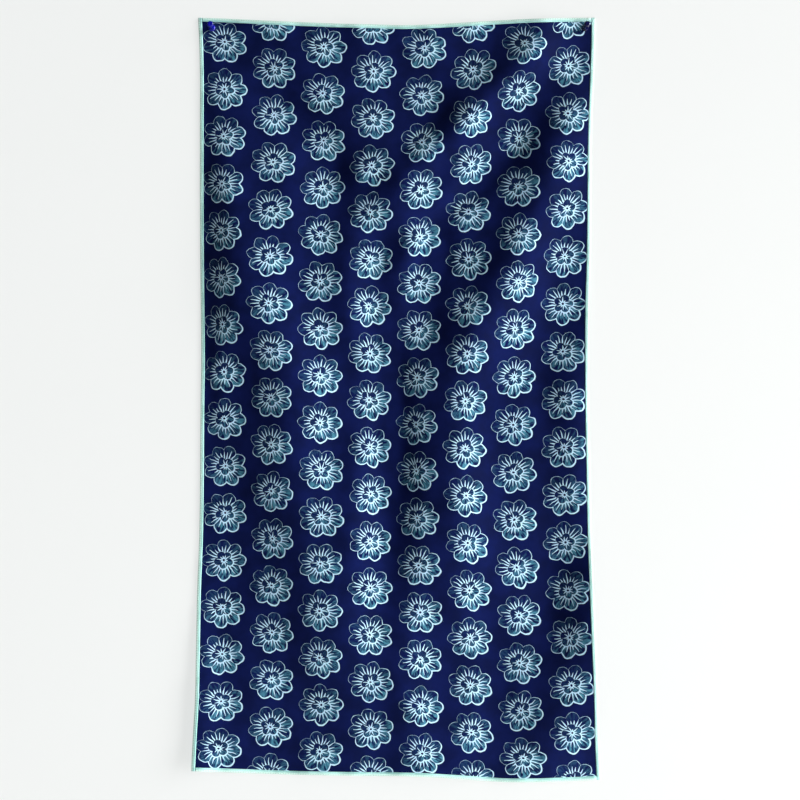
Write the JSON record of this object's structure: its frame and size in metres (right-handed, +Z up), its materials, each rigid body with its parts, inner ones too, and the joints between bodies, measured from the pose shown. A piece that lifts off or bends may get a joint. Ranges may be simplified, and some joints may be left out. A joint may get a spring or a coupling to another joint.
{
  "type": "sports towel with push pins",
  "caption": "Thin printed sports towel with a pale overlocked edge, hung flat to a wall from push pins through its top corners, with soft folds running down from the pins.",
  "frame": {"origin": "on the wall's face, midway between the two needles at the top corners", "axes": "+Z up, +Y into the wall that the towel hangs on, +X to the right as seen from the front"},
  "size_m": [0.4859, 0.0357, 0.9128],
  "materials": {
    "printed_cloth": "fine flat weave, navy ground with a pale aqua print",
    "mint_thread": "overlocked thread, soft sheen",
    "blue_plastic": "glossy moulded plastic",
    "needle_steel": "polished wire"
  },
  "bodies": {
    "root": {"cloth_panel": "printed_cloth", "edging_left": "mint_thread", "edging_right": "mint_thread", "edging_top": "mint_thread", "edging_hem": "mint_thread", "pin_head_left": "blue_plastic", "pin_head_right": "blue_plastic", "pin_needle_left": "needle_steel", "pin_needle_right": "needle_steel"}
  },
  "joints": []
}
